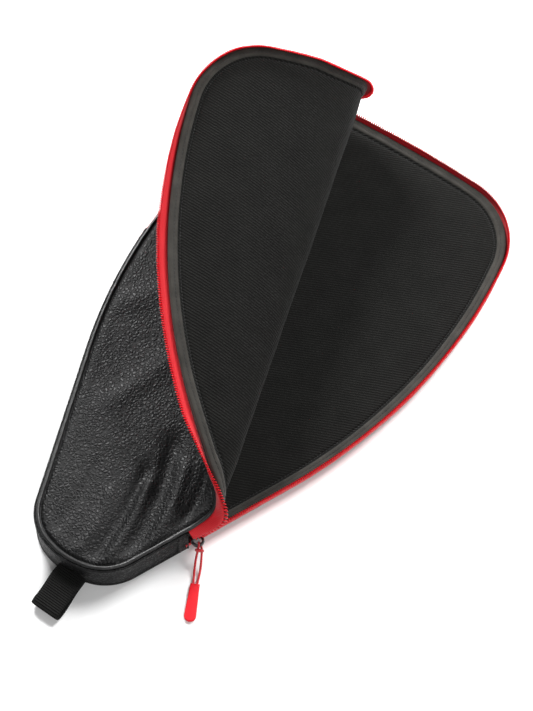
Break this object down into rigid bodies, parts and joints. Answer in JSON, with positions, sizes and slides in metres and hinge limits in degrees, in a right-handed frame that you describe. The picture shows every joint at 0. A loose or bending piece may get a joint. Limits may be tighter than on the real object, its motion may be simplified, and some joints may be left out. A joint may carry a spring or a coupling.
{
  "type": "paddle case",
  "caption": "Padded zip-round case for a short wide-faced paddle, laid open with its lined front cover peeled back; pull tab on the slider and a webbing hanging loop.",
  "frame": {"origin": "centre of the back panel's outer face", "axes": "+Z from the back panel to the front cover, +Y towards the wide end, +X towards the side where the zip starts"},
  "size_m": [0.2443, 0.4664, 0.1282],
  "materials": {
    "outer_leather": "pebbled synthetic leather, satin",
    "piping": "smooth piping, satin",
    "piping_core": "cotton cord",
    "foam": "closed-cell foam",
    "lining": "fine ribbed knit",
    "binding": "grosgrain tape, matt",
    "zip_tape": "woven zip tape",
    "zip_coil": "nylon coil",
    "zip_slider": "black enamel",
    "pull_cord": "braided cord",
    "pull_tab": "soft-touch moulded",
    "webbing": "ribbed webbing"
  },
  "bodies": {
    "case": {"back_shell": "outer_leather", "back_foam": "foam", "back_lining": "lining", "back_piping": "piping", "back_piping_core": "piping_core", "back_binding": "binding", "side_gusset": "outer_leather", "side_gusset_lining": "lining", "zip_tape_back": "zip_tape", "zip_coil_back": "zip_coil", "zip_end_tab_right": "outer_leather", "zip_end_tab_left": "outer_leather", "front_shell": "outer_leather", "front_foam": "foam", "front_lining": "lining", "front_piping": "piping", "front_binding": "binding", "zip_tape_front": "zip_tape", "zip_coil_front": "zip_coil"},
    "cover_strip_1": {"front_shell_1": "outer_leather", "front_foam_1": "foam", "front_lining_1": "lining", "front_piping_1": "piping", "front_binding_1": "binding", "zip_tape_front_1": "zip_tape", "zip_coil_front_1": "zip_coil"},
    "cover_strip_2": {"front_shell_2": "outer_leather", "front_foam_2": "foam", "front_lining_2": "lining", "front_piping_2": "piping", "front_binding_2": "binding", "zip_tape_front_2": "zip_tape", "zip_coil_front_2": "zip_coil"},
    "cover_strip_3": {"front_shell_3": "outer_leather", "front_foam_3": "foam", "front_lining_3": "lining", "front_piping_3": "piping", "front_binding_3": "binding", "zip_tape_front_3": "zip_tape", "zip_coil_front_3": "zip_coil"},
    "cover_strip_4": {"front_shell_4": "outer_leather", "front_foam_4": "foam", "front_lining_4": "lining", "front_piping_4": "piping", "front_binding_4": "binding", "zip_tape_front_4": "zip_tape", "zip_coil_front_4": "zip_coil"},
    "cover_strip_5": {"front_shell_5": "outer_leather", "front_foam_5": "foam", "front_lining_5": "lining", "front_piping_5": "piping", "front_binding_5": "binding", "zip_tape_front_5": "zip_tape", "zip_coil_front_5": "zip_coil"},
    "slider": {"slider_body": "zip_slider", "slider_bridge": "zip_slider"},
    "pull": {"pull_cord": "pull_cord", "pull_tab": "pull_tab"},
    "loop": {"hang_loop": "webbing"}
  },
  "joints": [
    {"name": "cover_peel_1", "type": "hinge", "parent": "case", "child": "cover_strip_1", "pos_m": [0.10374, -0.25394, 0.026], "axis": [0.3939, -0.9191, 0], "range_deg": [-24.5, 0]},
    {"name": "cover_peel_2", "type": "hinge", "parent": "cover_strip_1", "child": "cover_strip_2", "pos_m": [0.10374, -0.25394, 0.026], "axis": [0.3301, -0.9434, -0.0311], "range_deg": [-37.6, 0]},
    {"name": "cover_peel_3", "type": "hinge", "parent": "cover_strip_2", "child": "cover_strip_3", "pos_m": [0.10374, -0.25394, 0.026], "axis": [0.3125, -0.9477, -0.065], "range_deg": [-44.6, 0]},
    {"name": "cover_peel_4", "type": "hinge", "parent": "cover_strip_3", "child": "cover_strip_4", "pos_m": [0.10374, -0.25394, 0.026], "axis": [0.3216, -0.9416, -0.1], "range_deg": [-37.6, 0]},
    {"name": "cover_peel_5", "type": "hinge", "parent": "cover_strip_4", "child": "cover_strip_5", "pos_m": [0.10374, -0.25394, 0.026], "axis": [0.4239, -0.8875, -0.1809], "range_deg": [-22.4, 0]},
    {"name": "slider_travel", "type": "slide", "parent": "case", "child": "slider", "axis": [0.3778, 0.9259, 0], "range_m": [0, 0.06]},
    {"name": "pull_swing", "type": "hinge", "parent": "slider", "child": "pull", "pos_m": [0.06612, -0.149, 0.013], "axis": [-0.3778, -0.9259, 0], "range_deg": [0, 100]},
    {"name": "loop_swing", "type": "hinge", "parent": "case", "child": "loop", "pos_m": [0.008, -0.21517, 0.0111], "axis": [-1, 0, 0], "range_deg": [-20, 45]}
  ],
  "couplings": [
    {"joint": "cover_peel_2", "follows": "cover_peel_1", "ratio": 1.5347},
    {"joint": "cover_peel_3", "follows": "cover_peel_1", "ratio": 1.8204},
    {"joint": "cover_peel_4", "follows": "cover_peel_1", "ratio": 1.5347},
    {"joint": "cover_peel_5", "follows": "cover_peel_1", "ratio": 0.91429}
  ]
}
